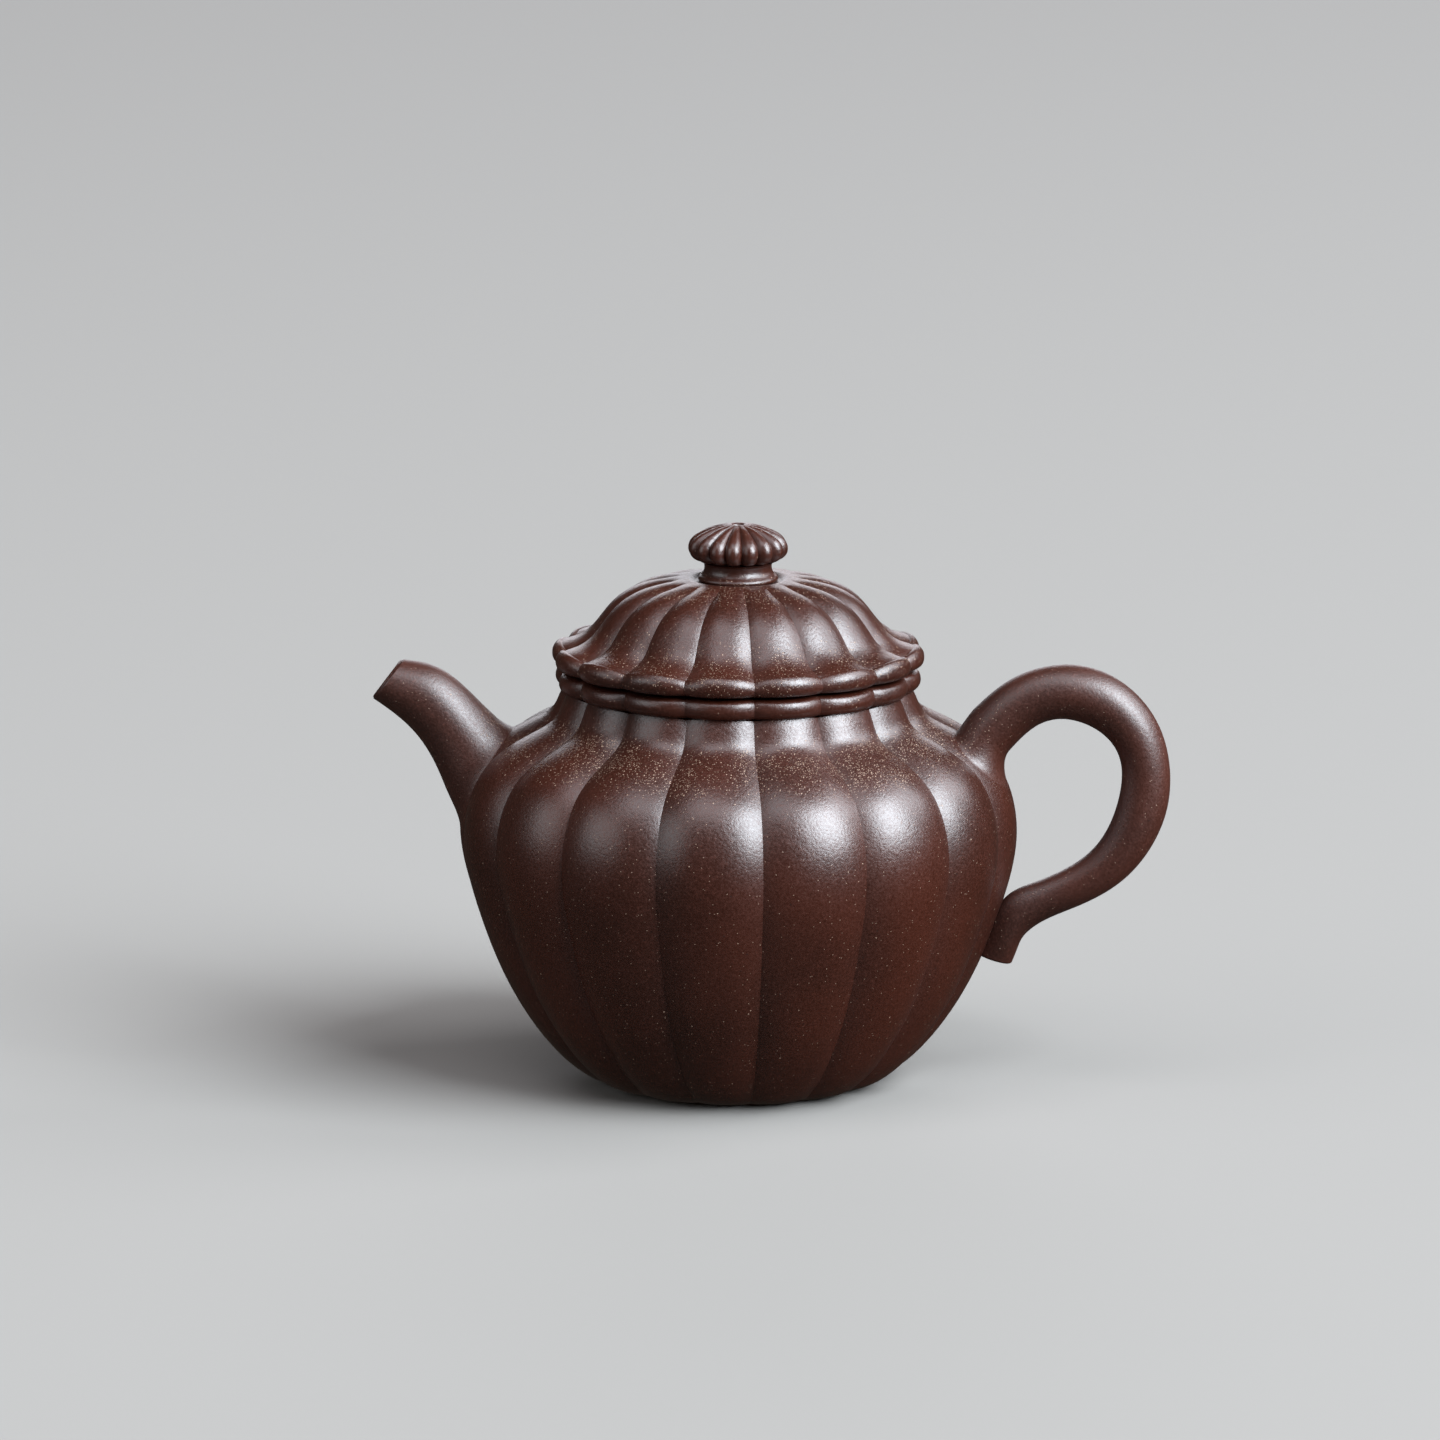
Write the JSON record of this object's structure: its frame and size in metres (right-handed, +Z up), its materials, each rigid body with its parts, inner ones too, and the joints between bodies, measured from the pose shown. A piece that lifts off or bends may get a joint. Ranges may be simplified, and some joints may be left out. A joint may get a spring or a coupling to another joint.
{
  "type": "clay teapot",
  "caption": "Small ribbed clay teapot with a lobed round belly, a short curved spout, a looped handle and a lift-off domed lid with a ribbed button knob.",
  "frame": {"origin": "middle of the flat base the pot stands on, on the axis of the belly and lid", "axes": "+Z up along the lid's lift, +X towards the handle, -X towards the spout"},
  "size_m": [0.1232, 0.086, 0.0865],
  "materials": {
    "clay_burnished": "unglazed purple-brown stoneware, burnished to a soft satin, with fine pale sand specks",
    "clay_raw": "the same unglazed clay left matte where it isn't burnished"
  },
  "bodies": {
    "pot": {"body_wall": "clay_burnished", "base_disc": "clay_raw", "neck_collar": "clay_burnished", "mouth_rim": "clay_burnished", "spout": "clay_burnished", "spout_strainer": "clay_raw", "handle": "clay_burnished"},
    "lid": {"lid_dome": "clay_burnished", "lid_rim": "clay_burnished", "lid_flange": "clay_raw", "knob_stem": "clay_burnished", "knob_button": "clay_burnished"}
  },
  "joints": [
    {"name": "lid_lift", "type": "slide", "parent": "pot", "child": "lid", "axis": [0, 0, 1], "range_m": [0, 0.06]}
  ]
}
